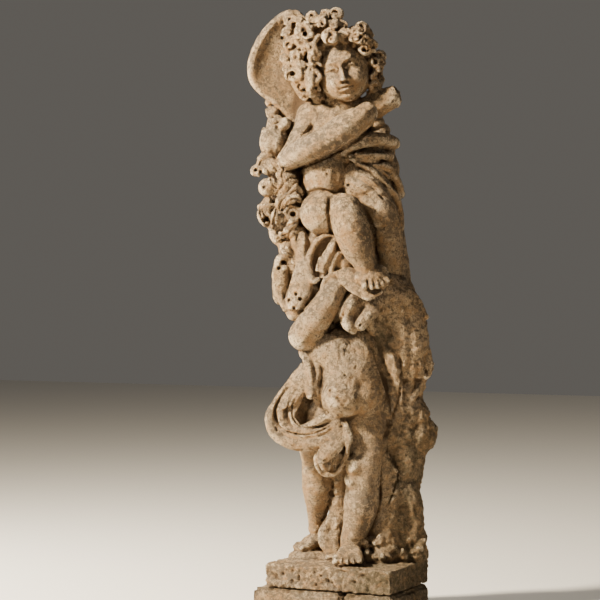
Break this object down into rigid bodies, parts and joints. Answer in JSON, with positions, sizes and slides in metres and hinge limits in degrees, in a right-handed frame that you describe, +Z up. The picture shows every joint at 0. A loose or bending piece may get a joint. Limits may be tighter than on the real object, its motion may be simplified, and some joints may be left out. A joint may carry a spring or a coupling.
{
  "type": "garden statue",
  "caption": "Weathered limestone garden statue of a seated putto carried by a standing putto, with a fruit garland, on a low stone course",
  "frame": {"origin": "on the underside of the stone course, below the middle of the statue's own slab", "axes": "+Z up, +X to the right along the slab's long front, -Y out of that front; the figures face 24.5 degrees round towards +X"},
  "size_m": [0.4286, 0.3036, 1.5085],
  "materials": {
    "statue_limestone": "weathered, pitted, lichen and dark crust",
    "course_limestone": "coarse, worn and chipped"
  },
  "bodies": {
    "root": {"putti_group": "statue_limestone", "course_left_stone": "course_limestone", "course_right_stone": "course_limestone"}
  },
  "joints": []
}
